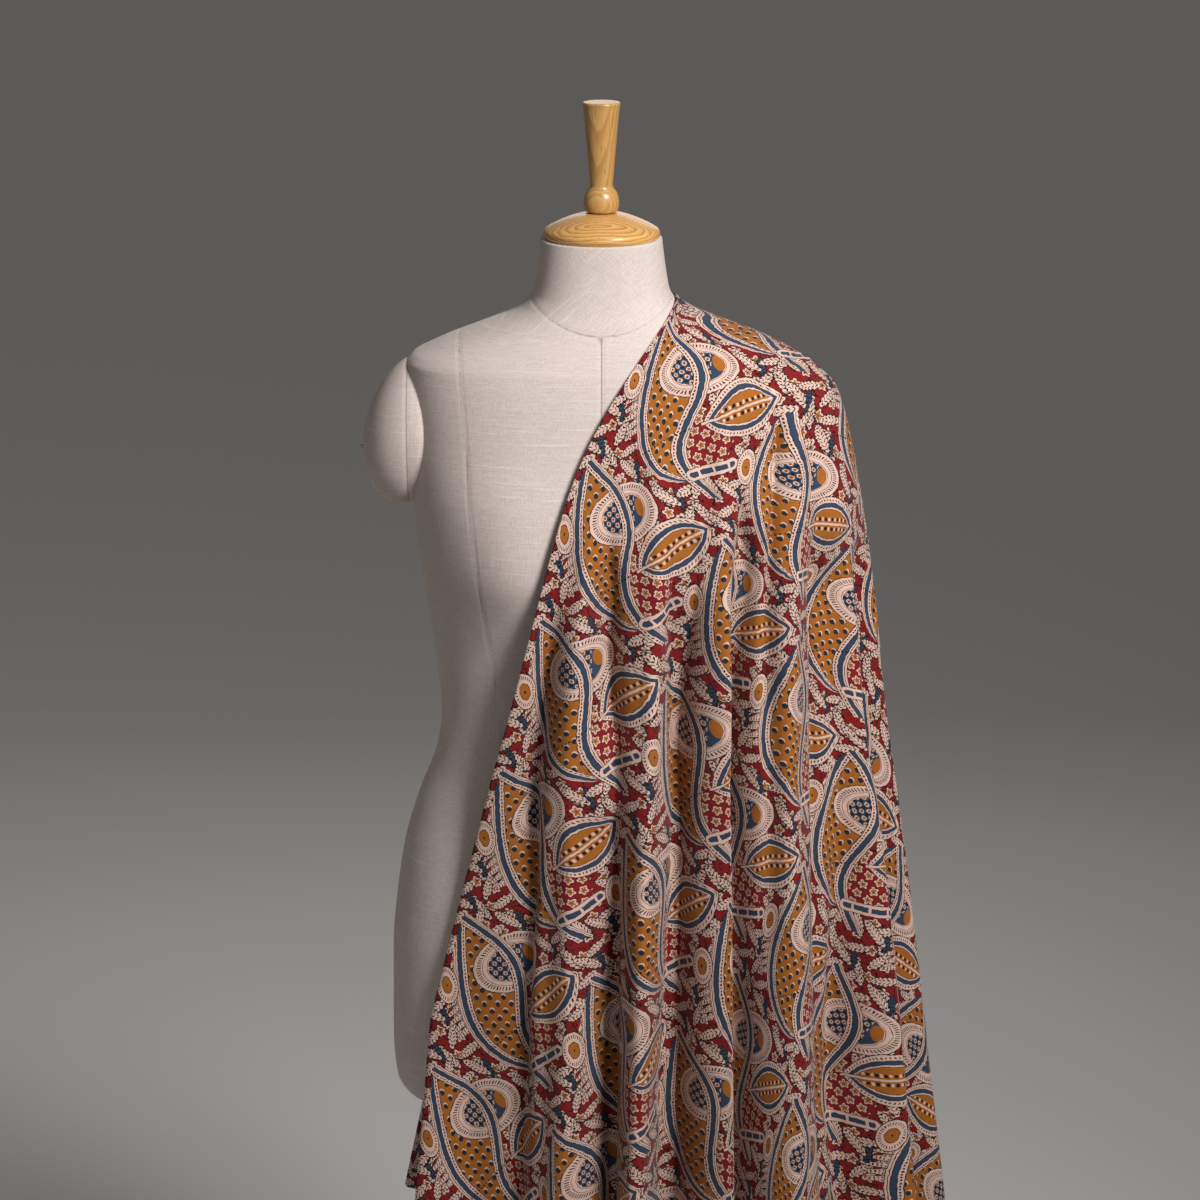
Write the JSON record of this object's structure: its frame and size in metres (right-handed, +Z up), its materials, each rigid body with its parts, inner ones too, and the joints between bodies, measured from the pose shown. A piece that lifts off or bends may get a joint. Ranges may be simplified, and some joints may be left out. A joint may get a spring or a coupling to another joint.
{
  "type": "kalamkari fabric length draped on a linen dress form",
  "caption": "Rectangular length of block-printed cotton draped over one shoulder of a linen-covered dress form with a turned wooden cap, handle and stand",
  "frame": {"origin": "the middle of the foot's underside, on the floor", "axes": "+Z up, the form's front faces -Y, +X is the viewer's right when looking at the front"},
  "size_m": [0.5797, 0.3997, 1.6586],
  "materials": {
    "printed_cotton": "matt block-printed plain-weave cotton in madder red, cream, indigo, mustard and near-black",
    "linen": "natural slubby linen, stretched and seamed",
    "turned_wood": "honey-coloured turned wood under satin varnish",
    "steel": "small bright pin"
  },
  "bodies": {
    "root": {"cloth": "printed_cotton", "torso": "linen", "arm_left": "linen", "arm_right": "linen", "arm_pin": "steel", "neck_cap": "turned_wood", "finial": "turned_wood", "pole": "turned_wood", "base": "turned_wood"}
  },
  "joints": []
}
